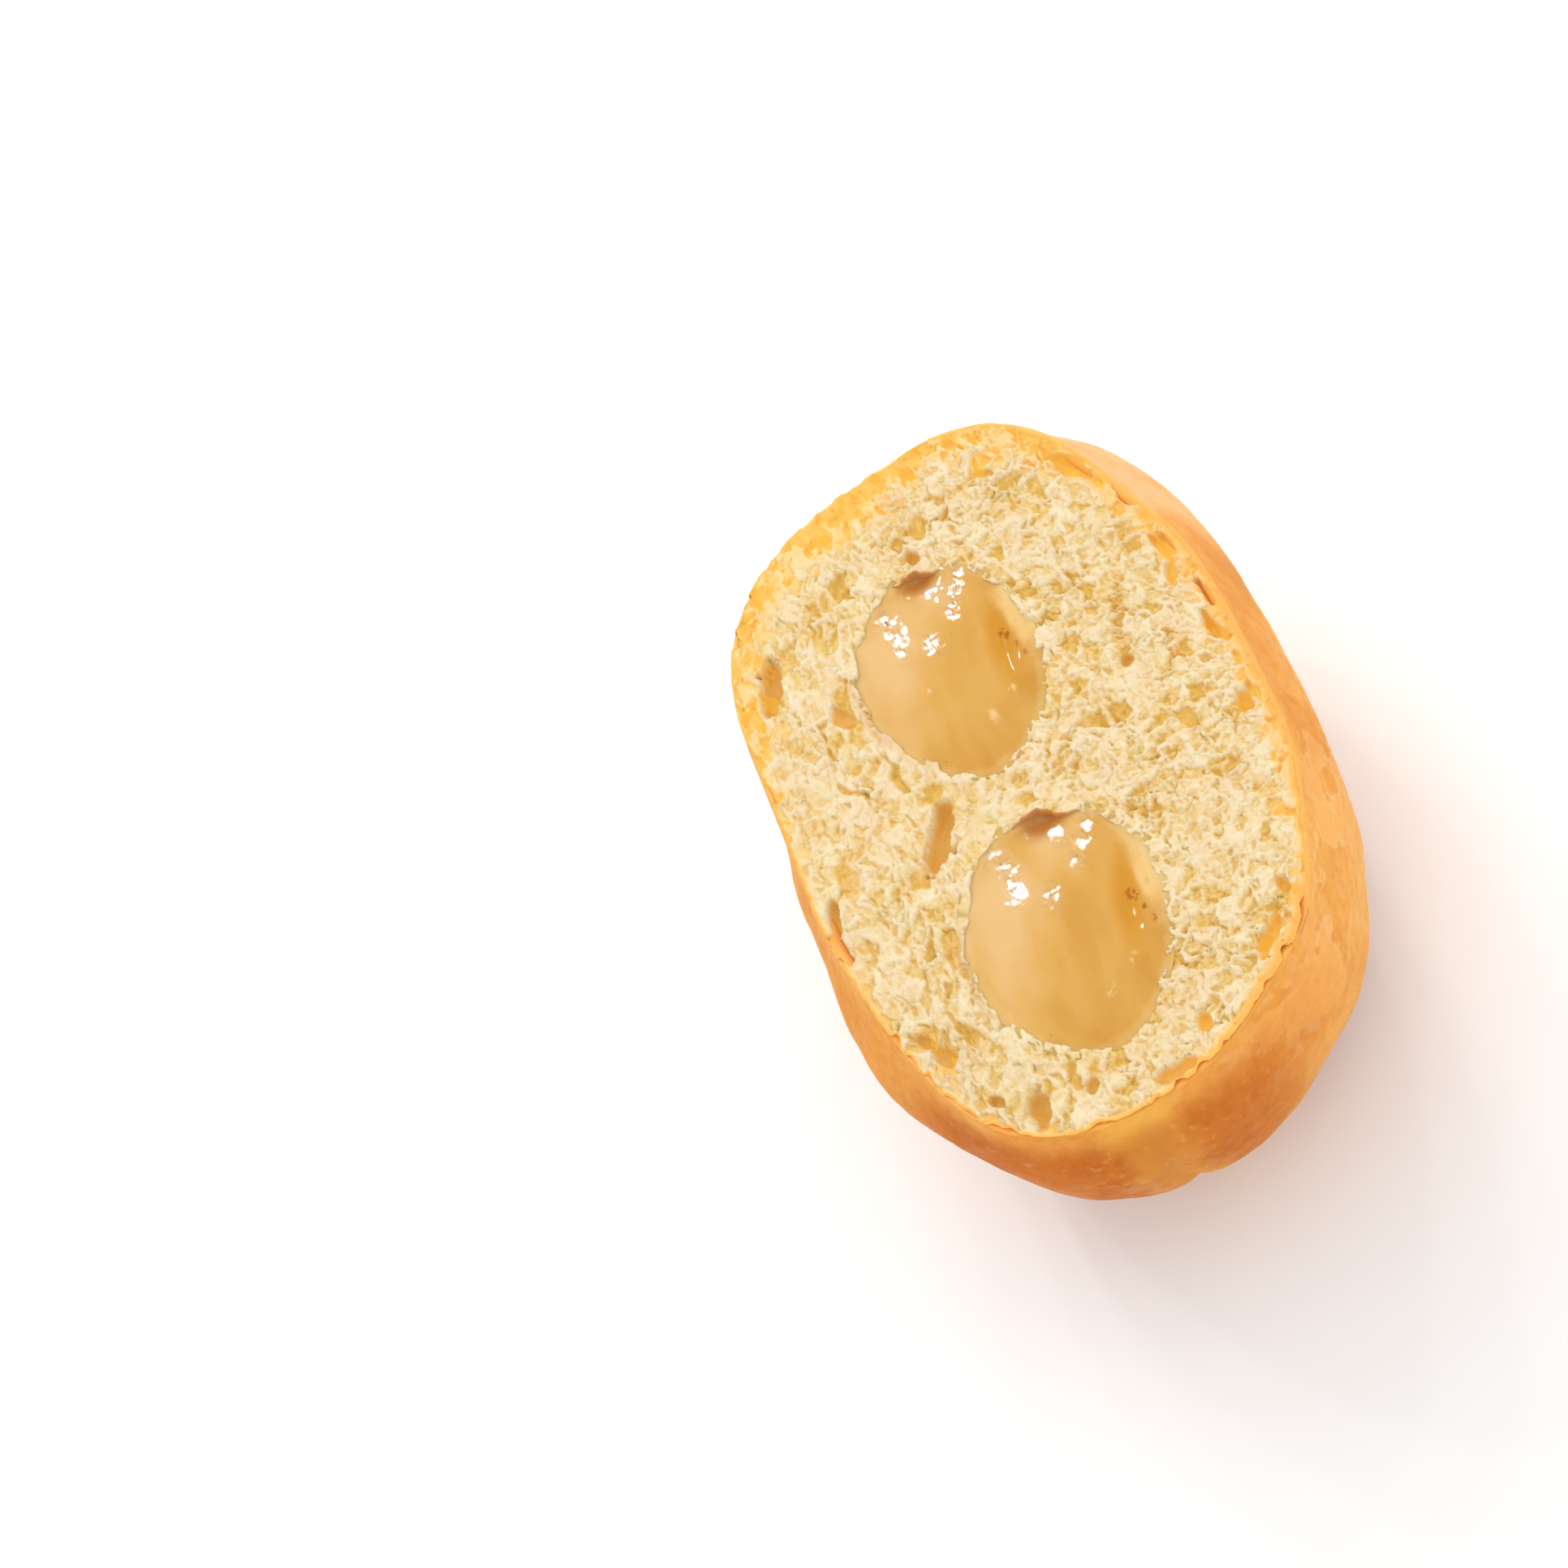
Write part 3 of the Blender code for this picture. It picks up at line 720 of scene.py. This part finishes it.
def make_crumb(material):
    columns, rows = CRUMB_CELLS
    across, along = np.meshgrid(np.linspace(-1, 1, rows + 1), np.linspace(-1, 1, columns + 1), indexing="ij")
    across, along = across.ravel(), along.ravel()
    u, v = along * np.sqrt(1 - across**2 / 2), across * np.sqrt(1 - along**2 / 2)
    share = np.minimum(np.hypot(u, v), 1.0)
    angle = np.degrees(np.arctan2(CUT_HALF_WIDTH * v, CUT_HALF_LENGTH * u))
    turn = np.radians(angle)
    rim = rim_radius(angle)
    size, short, mean = CRUMB_RAGGED
    on_rim = np.stack((rim * np.cos(turn), rim * np.sin(turn)), axis=1)
    ragged = np.clip(mean + lattice_noise(on_rim, size, SEED + 38), 0, 1)
    strength = UNCOVERED_RAGGED + (1 - UNCOVERED_RAGGED) * covered_share(angle)
    outline = rim - CRUMB_FROM_RIM - short * ragged * strength
    x, y = share * outline * np.cos(turn), share * outline * np.sin(turn)
    height, attributes = crumb_surface(np.stack((x, y), axis=1), angle, outline * (1 - share))
    points = np.stack((x, y, cut_level(x, y) + height), axis=1)

    index = np.arange((rows + 1) * (columns + 1)).reshape(rows + 1, columns + 1)
    faces = grid_faces(rows + 1, columns + 1, wrap=False)
    border = np.concatenate((index[0, :-1], index[:-1, -1], index[-1, :0:-1], index[:0:-1, 0]))
    layers = [points]
    loops = [border.tolist()]
    count = len(points)
    for outline_share, depth in CRUMB_SKIRT:
        radius = outline[border] * outline_share
        turn = np.radians(angle[border])
        level = np.full(len(border), HALF_DEPTH - depth)
        layers.append(np.stack((radius * np.cos(turn), radius * np.sin(turn), level), axis=1))
        loops.append(list(range(count, count + len(border))))
        count += len(border)
    for upper, lower in zip(loops, loops[1:]):
        for k in range(len(border)):
            following = (k + 1) % len(border)
            faces.append([upper[k], lower[k], lower[following], upper[following]])
    faces += fan_faces(loops[-1], count)
    layers.append(np.array(((0, 0, HALF_DEPTH - CRUMB_SKIRT[-1][1] - CRUMB_BOTTOM),)))
    points = np.concatenate(layers)
    unseen = np.zeros(len(points) - len(x))
    attributes = {key: np.concatenate((values, unseen)) for key, values in attributes.items()}
    return link_mesh("crumb", points, faces, attributes, material)


def soft_spots(along, across, spots, widened=1.0):
    """Sum of soft round spots, each given by its place, its spread and, if that isn't 1, its height."""
    total = np.zeros_like(along)
    for x, y, spread, *heights in spots:
        total += math.prod(heights) * bell(np.hypot(along - x, across - y), widened * spread)
    return total


def gel_top(along, across, local):
    """Height of the gel's top over the cut, at shares of the pocket and at places in metres."""
    height = np.full(len(along), GEL_LEVEL)
    for x, y, long, wide, rise in GEL_FORMS:
        height += rise * bell(along - x, long) * bell(across - y, wide)
    for x, y, narrow, long, rise in (GEL_RIDGE, GEL_VALLEY):
        lengthwise, sideways = turned(along - x, across - y, GEL_TURN)
        height += rise * bell(lengthwise, long) * bell(sideways, narrow)
    wrinkled = np.clip(soft_spots(along, across, WRINKLED), 0, 1)
    stretched = local / np.array((WRINKLE_STRETCH, 1))
    height += wrinkled * layered_noise(stretched, WRINKLES, SEED + 60)
    for k, (size, depth) in enumerate(CREASES):
        height -= wrinkled * depth * np.abs(lattice_noise(stretched, size, SEED + 62 + k))
    size, rise = SWELLS
    height += rise * lattice_noise(local, size, SEED + 65)
    return height


def gel_tints(along, across):
    """The attributes of the gel's top, at shares of the pocket."""
    x, y, narrow, long, _ = GEL_VALLEY
    longer, wider = VALLEY_TINT
    lengthwise, sideways = turned(along - x, across - y, GEL_TURN)
    golden = bell(lengthwise, long * longer) * bell(sideways, narrow * wider)
    x, y, long, wide, _ = GEL_FORMS[0]
    longer, wider = HOLLOW_SHADE
    shaded = bell(along - x, long * longer) * bell(across - y, wide * wider)
    middle, spread, distance, width = PALE_SIDE
    share = np.hypot(along, across)
    side = turned_difference(np.degrees(np.arctan2(across, along)), middle)
    x, y, fleck_spread, long = DARK_FLECK
    border, over = GEL_BORDER
    return {
        "golden": golden,
        "pale_side": bell(side, spread) * smooth_step((share - distance + width) / width),
        "amber": AMBER_MEAN + soft_spots(along, across, AMBER),
        "border": smooth_step((share - border) / over),
        "shaded": shaded,
        "pale": soft_spots(along, across, PALE_SPOTS),
        "fleck": bell(np.hypot(along - x, (across - y) * long), fleck_spread),
        "specks": soft_spots(along, across, BROWN_SPECKS),
        "shine": np.clip(soft_spots(along, across, WRINKLED, SHINE_SPREAD), 0, 1),
    }


def make_filling(pocket, material):
    node, middle_x, middle_y, half_length, half_width, turn = pocket
    depth = pocket_depth(pocket)
    direction = np.arange(FILLING_SEGMENTS) * 2 * math.pi / FILLING_SEGMENTS
    shares = np.linspace(0, FILLING_REACH, FILLING_RINGS + 1)[1:]
    share, direction_grid = np.meshgrid(shares, direction, indexing="ij")
    along = np.append((share * np.cos(direction_grid)).ravel(), 0.0)
    across = np.append((share * np.sin(direction_grid)).ravel(), 0.0)
    local = np.stack((along * half_length, across * half_width * (1 + POCKET_EGG * along)), axis=1)
    top = gel_top(along, across, local)
    surface = np.column_stack((local, top))
    tip = surface[-1]
    rings = [surface[k * FILLING_SEGMENTS : (k + 1) * FILLING_SEGMENTS] for k in range(FILLING_RINGS)]
    rim = rings[-1]
    number, step, share_of_depth, narrowing = GEL_BELOW
    for k in range(1, number + 1):
        lean = math.radians(step * k)
        low = rim[:, 2] - (depth + rim[:, 2]) * share_of_depth * math.sin(lean)
        narrowed = math.cos(lean) / (1 + narrowing * min(k, 2) / 2)
        rings.append(np.column_stack((rim[:, 0] * narrowed, rim[:, 1] * narrowed, low)))
    points = np.concatenate((*rings, tip[None, :], ((0, 0, -GEL_TIP * depth),)))
    to_middle = Matrix.Translation((middle_x, middle_y, HALF_DEPTH))
    place = np.array(to_middle @ Matrix.Rotation(math.radians(turn), 4, "Z"))
    points = points @ place[:3, :3].T + place[:3, 3]
    unseen = np.zeros(number * FILLING_SEGMENTS)
    attributes = {
        key: np.concatenate((values[:-1], unseen, values[-1:], (0.0,)))
        for key, values in gel_tints(along, across).items()
    }
    faces = closed_faces(len(rings), FILLING_SEGMENTS)
    return link_mesh(f"gel_{node.split('_')[1]}", points, faces, attributes, material)


def colour(red, green, blue):
    """Linear colour from an sRGB one in steps of 255."""
    def linear(value):
        value /= 255
        return value / 12.92 if value <= 0.04045 else ((value + 0.055) / 1.055) ** 2.4

    return (linear(red), linear(green), linear(blue), 1.0)


class Shader:
    """A Principled material and its nodes. A name in place of a value stands for that attribute."""

    def __init__(self, name, **values):
        self.material = bpy.data.materials.new(name)
        self.material.use_nodes = True
        self.nodes = self.material.node_tree.nodes
        self.links = self.material.node_tree.links
        self.feed_all(self.nodes["Principled BSDF"], values)
        self.place = self.node("TexCoord").outputs["Object"]

    def feed(self, value, socket):
        """Sets a socket to a value, or links it to an output or an attribute."""
        if isinstance(value, (tuple, float, int)):
            socket.default_value = value
            return
        if isinstance(value, str):
            attribute = self.node("Attribute")
            attribute.attribute_name = value
            value = attribute.outputs["Fac"]
        self.links.new(value, socket)

    def feed_all(self, node, values):
        for key, value in values.items():
            self.feed(value, node.inputs[key.replace("_", " ")])

    def node(self, kind, **values):
        node = self.nodes.new(f"ShaderNode{kind}")
        self.feed_all(node, values)
        return node

    def noise(self, size, detail=3.0, roughness=0.55, stretch=(1, 1, 1)):
        """Noise from 0 to 1 with features of a size in metres."""
        place = self.node("Mapping", Scale=stretch, Vector=self.place).outputs["Vector"]
        node = self.node("TexNoise", Scale=1 / size, Detail=detail, Roughness=roughness, Vector=place)
        return node.outputs["Fac"]

    def ramp(self, factor, *stops):
        """Colours at places from 0 to 1 along a value."""
        node = self.node("ValToRGB", Fac=factor)
        while len(node.color_ramp.elements) < len(stops):
            node.color_ramp.elements.new(0.5)
        for element, (position, rgba) in zip(node.color_ramp.elements, stops):
            element.position = position
            element.color = rgba
        return node.outputs["Color"]

    def levels(self, factor, low, high, to_low=0.0, to_high=1.0):
        """Value stretched from one range to another."""
        node = self.node("MapRange", Value=factor, From_Min=low, From_Max=high, To_Min=to_low, To_Max=to_high)
        node.interpolation_type = "SMOOTHSTEP"
        return node.outputs["Result"]

    def mix(self, factor, first, second, blend="MIX"):
        node = self.node("Mix")
        node.data_type = "RGBA"
        node.blend_type = blend
        sockets = [s for s in node.inputs if s.type == "RGBA"]
        for socket, value in zip((node.inputs[0], *sockets), (factor, first, second)):
            self.feed(value, socket)
        return next(s for s in node.outputs if s.type == "RGBA")

    def math(self, operation, first, second):
        node = self.node("Math")
        node.operation = operation
        for socket, value in zip(node.inputs, (first, second)):
            self.feed(value, socket)
        return node.outputs[0]

    def bump(self, height, distance, strength, **normal):
        node = self.node("Bump", Height=height, Distance=distance, Strength=strength, **normal)
        return node.outputs["Normal"]

    def finish(self, base, **outputs):
        self.feed_all(self.nodes["Principled BSDF"], {"Base_Color": base, **outputs})
        return self.material


def crumb_material():
    shader = Shader(
        "crumb", Subsurface_Weight=0.45, Subsurface_Scale=0.22 * MM, Subsurface_Radius=(0.8, 0.9, 1.0)
    )
    grain = shader.levels(shader.noise(0.5 * MM, roughness=0.6), 0.35, 0.65, -0.12, 0.12)
    # Painted shade: the crumb is darker and more ochre the deeper its cells are, and paler on raised strands
    walls = shader.ramp(
        shader.math("ADD", "hollow", grain),
        (0.0, colour(255, 241, 213)),
        (0.30, colour(252, 231, 188)),
        (0.60, colour(248, 217, 153)),
        (1.0, colour(241, 198, 105)),
    )
    patchy = shader.ramp(shader.noise(6 * MM), (0.35, colour(240, 239, 235)), (0.65, colour(236, 230, 219)))
    base = shader.mix(1.0, walls, patchy, "MULTIPLY")
    hues = shader.ramp(shader.noise(2.4 * MM), (0.38, colour(253, 253, 245)), (0.62, colour(255, 251, 249)))
    base = shader.mix(1.0, base, hues, "MULTIPLY")
    cream = shader.mix("peach", colour(251, 212, 142), colour(249, 200, 124))
    base = shader.mix(shader.levels("gold", 0.0, 0.4, 0.0, 0.8), base, cream)
    rich = shader.levels(shader.noise(2.2 * MM, detail=4.0), 0.42, 0.62)
    golden = shader.mix(rich, colour(249, 196, 100), colour(246, 180, 62))
    golden = shader.mix("peach", golden, colour(248, 182, 92))
    base = shader.mix(shader.levels("gold", 0.30, 0.9, 0.0, 0.9), base, golden)
    # Hole insides are tinted ochre as painted shade, and golden to orange near the crust
    near_crust = shader.levels("gold", 0.0, 0.5)
    inside = shader.mix(near_crust, colour(236, 188, 96), colour(255, 212, 92))
    inside = shader.mix(shader.levels("peach", 0.1, 0.5), inside, colour(255, 204, 90))
    base = shader.mix(shader.levels("hole", 0.0, 1.0, 0.0, 0.85), base, inside)
    # Amber where gel soaks the crumb, darker and spread at the gel's hollow as painted shade
    base = shader.mix(shader.levels("wet_and_shade", 0.2, 1.0, 0.0, 0.9), base, colour(198, 122, 38))
    return shader.finish(
        base,
        Normal=shader.bump(shader.noise(0.45 * MM, detail=2.0), 0.12 * MM, 0.8),
        Roughness=shader.levels("wet_and_shade", 0.1, 0.9, 0.85, 0.45),
        Specular_IOR_Level=shader.levels("wet_and_shade", 0.3, 1.0, 0.0, 0.3),
    )


def crust_material():
    shader = Shader(
        "crust",
        Subsurface_Weight=0.35,
        Subsurface_Scale=2.0 * MM,
        Subsurface_Radius=(1.0, 0.4, 0.12),
        Specular_IOR_Level=0.05,
    )
    broad = shader.ramp(
        shader.noise(17 * MM, detail=4.0),
        (0.30, colour(222, 144, 58)),
        (0.50, colour(236, 160, 72)),
        (0.70, colour(244, 180, 96)),
    )
    mottled = shader.ramp(
        shader.noise(1.6 * MM, detail=4.0, roughness=0.65),
        (0.30, colour(244, 232, 212)),
        (0.60, colour(255, 255, 255)),
    )
    base = shader.mix(1.0, broad, mottled, "MULTIPLY")
    torn = shader.noise(7 * MM, detail=4.0, roughness=0.5)
    patches = shader.math("MULTIPLY", shader.levels(torn, 0.50, 0.515), "peeled")
    base = shader.mix(shader.math("MULTIPLY", patches, 0.5), base, colour(255, 190, 112))
    edges = shader.ramp(torn, (0.47, (0, 0, 0, 1)), (0.50, (1, 1, 1, 1)), (0.52, (0, 0, 0, 1)))
    edges = shader.math("MULTIPLY", edges, "peeled")
    base = shader.mix(shader.math("MULTIPLY", edges, 0.5), base, colour(255, 214, 156))
    # Browning of back and underside, and painted shade towards -X below the cut, as darker crust
    toast_and_shade = shader.levels("toasted_and_shade", 0.0, 1.0, 0.0, 0.85)
    base = shader.mix(toast_and_shade, base, shader.mix(1.0, base, colour(212, 166, 124), "MULTIPLY"))
    grains = shader.levels(shader.noise(1.3 * MM, detail=2.0), 0.60, 0.70)
    grains = shader.math("MULTIPLY", grains, "toasted_and_shade")
    base = shader.mix(shader.math("MULTIPLY", grains, 0.22), base, colour(240, 184, 122))
    from_ring = shader.math("ABSOLUTE", "ring", 0.0)
    uneven = shader.levels(shader.noise(5 * MM, detail=4.0), 0.2, 0.8, -2.5, 2.5)
    pale_ring = shader.levels(shader.math("ADD", from_ring, uneven), 2.0, 6.5, 0.6, 0.0)
    pale_ring = shader.math("MULTIPLY", pale_ring, shader.levels("toasted_and_shade", 0.0, 1.0, 1.0, 0.5))
    base = shader.mix(pale_ring, base, colour(246, 184, 80))
    # Painted highlight: pale pinkish crust high on the side facing the key light
    uneven = shader.levels(shader.noise(7 * MM, detail=5.0), 0.3, 0.7, -0.4, 0.2)
    painted_highlight = shader.levels(shader.math("ADD", "painted_highlight", uneven), 0.2, 1.0, 0.0, 0.75)
    base = shader.mix(painted_highlight, base, colour(250, 192, 136))
    section = shader.mix("gold", colour(250, 178, 92), colour(254, 204, 100))
    base = shader.mix("cut", base, section)
    wrinkles = shader.noise(1.1 * MM, detail=5.0, roughness=0.6, stretch=(1, 1.8, 1))
    normal = shader.bump(wrinkles, 0.18 * MM, 0.6)
    normal = shader.bump(patches, 0.12 * MM, 0.8, Normal=normal)
    rough = shader.levels(shader.noise(2.5 * MM), 0.3, 0.7, 0.40, 0.60)
    return shader.finish(base, Normal=normal, Roughness=rough)


def gel_material():
    shader = Shader(
        "apple_gel",
        Roughness=0.04,
        Subsurface_Weight=0.7,
        Subsurface_Scale=1.2 * MM,
        Subsurface_Radius=(1.0, 0.75, 0.5),
    )
    clouds = shader.levels(shader.noise(4.5 * MM, detail=2.0, stretch=(0.6, 1.2, 1)), 0.3, 0.7, -0.13, 0.13)
    base = shader.ramp(
        shader.math("ADD", "amber", clouds),
        (0.0, colour(229, 190, 130)),
        (0.45, colour(219, 171, 92)),
        (1.0, colour(204, 146, 60)),
    )
    base = shader.mix(shader.levels("golden", 0.1, 0.9, 0.0, 0.75), base, colour(212, 148, 42))
    base = shader.mix(shader.levels("shaded", 0.1, 0.9, 0.0, 0.8), base, colour(176, 100, 30))
    broken = shader.levels(shader.noise(0.9 * MM), 0.35, 0.6)
    spots = shader.math("MULTIPLY", "pale", broken)
    base = shader.mix(shader.levels(spots, 0.1, 0.9, 0.0, 0.6), base, colour(246, 214, 164))
    base = shader.mix(shader.levels("fleck", 0.3, 0.8, 0.0, 0.9), base, colour(150, 50, 20))
    grainy = shader.levels(shader.noise(0.5 * MM), 0.4, 0.55)
    specks = shader.math("MULTIPLY", "specks", grainy)
    base = shader.mix(shader.levels(specks, 0.15, 0.6, 0.0, 0.75), base, colour(178, 92, 22))
    cloudy_edge = shader.levels(shader.noise(2.5 * MM), 0.3, 0.7, -0.2, 0.2)
    side = shader.levels(shader.math("ADD", "pale_side", cloudy_edge), 0.1, 1.0, 0.0, 0.7)
    base = shader.mix(side, base, colour(240, 206, 142))
    milky = shader.levels(shader.math("ADD", "border", cloudy_edge), 0.4, 1.2, 0.0, 0.28)
    base = shader.mix(milky, base, colour(240, 208, 150))
    return shader.finish(base, Specular_IOR_Level=shader.levels("shine", 0.2, 0.6, 0.015, 0.6))


def floor_material():
    shader = Shader("pale_floor", Roughness=0.6)
    tone = shader.ramp(shader.noise(60 * MM), (0.3, (0.86, 0.86, 0.855, 1)), (0.7, (0.88, 0.88, 0.875, 1)))
    return shader.finish(tone)


def add_floor():
    bpy.ops.mesh.primitive_plane_add(size=FLOOR_SIZE, location=(0, 0, FLOOR_LEVEL))
    floor = bpy.context.object
    floor.name = "floor"
    floor.data.materials.append(floor_material())


def add_area_light(name, direction, distance, size, energy, glints):
    """A square soft light that looks at the middle of the cut face, for glints or for all else."""
    data = bpy.data.lights.new(name, "AREA")
    data.size = size
    data.energy = energy
    light = bpy.data.objects.new(name, data)
    target = Vector((0, 0, HALF_DEPTH))
    light.visible_glossy = glints
    light.visible_diffuse = not glints
    light.visible_transmission = not glints
    light.location = target + Vector(direction).normalized() * distance
    light.rotation_euler = (target - light.location).to_track_quat("-Z", "Y").to_euler()
    bpy.context.scene.collection.objects.link(light)


def add_lights():
    world = bpy.data.worlds.new("studio")
    world.use_nodes = True
    background = world.node_tree.nodes["Background"]
    background.inputs["Color"].default_value = (1.0, 1.0, 1.0, 1.0)
    background.inputs["Strength"].default_value = SKY_STRENGTH
    bpy.context.scene.world = world
    for k, direction in enumerate(GLINT_DIRECTIONS):
        add_area_light(f"glint_{k}", direction, *GLINT_LIGHT, True)
    for name, direction, distance, size, energy in SOFT_LIGHTS:
        add_area_light(name, direction, distance, size, energy, False)


def add_camera():
    """The photograph's view, with its roll and framing."""
    half_picture = PICTURE_PIXELS / 2
    middle = Vector((0, 0, HALF_DEPTH))
    camera_at = middle + TO_CAMERA.normalized() * CAMERA_DISTANCE
    off_right = (half_picture - CUT_MIDDLE_PIXEL[0]) * PIXEL
    off_up = (CUT_MIDDLE_PIXEL[1] - half_picture) * PIXEL
    aim = middle + PICTURE_RIGHT * off_right + PICTURE_UP * off_up
    back = (camera_at - aim).normalized()
    right = (PICTURE_RIGHT - back * PICTURE_RIGHT.dot(back)).normalized()
    up = back.cross(right)
    data = bpy.data.cameras.new("camera")
    data.sensor_width = SENSOR
    data.lens = SENSOR * CAMERA_DISTANCE / (PICTURE_PIXELS * PIXEL)
    data.clip_start, data.clip_end = CAMERA_CLIP
    camera = bpy.data.objects.new("camera", data)
    camera.matrix_world = Matrix.Translation(camera_at) @ Matrix((right, up, back)).transposed().to_4x4()
    bpy.context.scene.collection.objects.link(camera)
    bpy.context.scene.camera = camera


def main():
    bpy.context.scene.view_settings.view_transform = "Standard"
    crumb = make_crumb(crumb_material())
    crust = make_crust(crust_material())
    gel = gel_material()
    for pocket in POCKETS:
        filling = make_filling(pocket, gel)
        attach(filling, "root")
        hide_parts(pocket[0])
    for piece in (crumb, crust):
        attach(piece, "root")
        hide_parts("dough")
    add_floor()
    add_lights()
    add_camera()


main()
